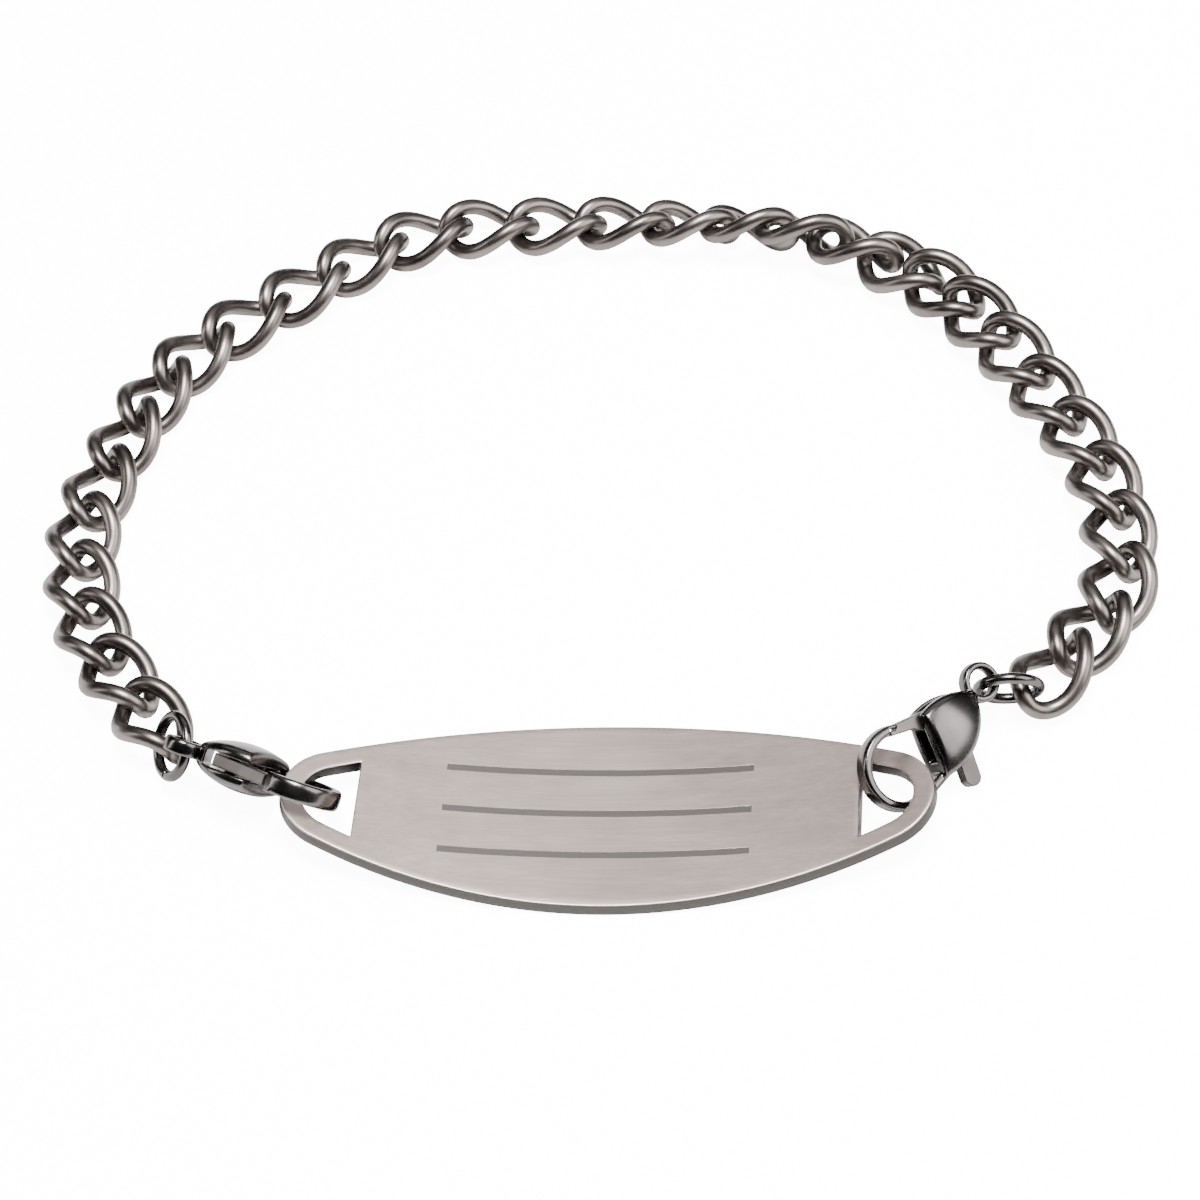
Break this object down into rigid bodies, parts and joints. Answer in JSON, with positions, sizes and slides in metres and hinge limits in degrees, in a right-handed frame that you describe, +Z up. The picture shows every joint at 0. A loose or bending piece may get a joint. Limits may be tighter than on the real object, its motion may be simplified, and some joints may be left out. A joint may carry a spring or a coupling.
{
  "type": "medical alert bracelet",
  "caption": "Medical alert bracelet: a blank bent steel plate with slotted ends, lobster clasps, jump rings and a curb chain, lying open as a loop.",
  "frame": {"origin": "centre of the bounding box in plan, at the surface that the bracelet lies on", "axes": "+X along the plate's length from the left clasp to the right one, +Y from the plate across the loop to the far side of the chain, +Z up"},
  "size_m": [0.083, 0.0702, 0.0066],
  "materials": {
    "plate_steel": "fine brushed along the length, slightly warm grey",
    "polished_steel": "polished stainless steel"
  },
  "bodies": {
    "bracelet": {"id_plate": "plate_steel", "left_clasp_body": "polished_steel", "left_clasp_pin": "polished_steel", "right_clasp_body": "polished_steel", "right_clasp_pin": "polished_steel", "left_jump_ring": "polished_steel", "right_jump_ring": "polished_steel", "chain_link_01": "polished_steel", "chain_link_02": "polished_steel", "chain_link_03": "polished_steel", "chain_link_04": "polished_steel", "chain_link_05": "polished_steel", "chain_link_06": "polished_steel", "chain_link_07": "polished_steel", "chain_link_08": "polished_steel", "chain_link_09": "polished_steel", "chain_link_10": "polished_steel", "chain_link_11": "polished_steel", "chain_link_12": "polished_steel", "chain_link_13": "polished_steel", "chain_link_14": "polished_steel", "chain_link_15": "polished_steel", "chain_link_16": "polished_steel", "chain_link_17": "polished_steel", "chain_link_18": "polished_steel", "chain_link_19": "polished_steel", "chain_link_20": "polished_steel", "chain_link_21": "polished_steel", "chain_link_22": "polished_steel", "chain_link_23": "polished_steel", "chain_link_24": "polished_steel", "chain_link_25": "polished_steel", "chain_link_26": "polished_steel", "chain_link_27": "polished_steel", "chain_link_28": "polished_steel", "chain_link_29": "polished_steel", "chain_link_30": "polished_steel", "chain_link_31": "polished_steel"},
    "left_trigger": {"left_clasp_trigger": "polished_steel"},
    "right_trigger": {"right_clasp_trigger": "polished_steel"}
  },
  "joints": [
    {"name": "left_trigger_hinge", "type": "hinge", "parent": "bracelet", "child": "left_trigger", "pos_m": [-0.02326, -0.02495, 0.00393], "axis": [0.3274, 0.7262, 0.6045], "range_deg": [0, 14.5], "stiffness_Nm_per_rad": 0.01, "springref_deg": -17.19},
    {"name": "right_trigger_hinge", "type": "hinge", "parent": "bracelet", "child": "right_trigger", "pos_m": [0.02679, -0.02097, 0.00348], "axis": [0.5193, -0.4574, 0.7219], "range_deg": [0, 14.5], "stiffness_Nm_per_rad": 0.01, "springref_deg": -17.19}
  ]
}
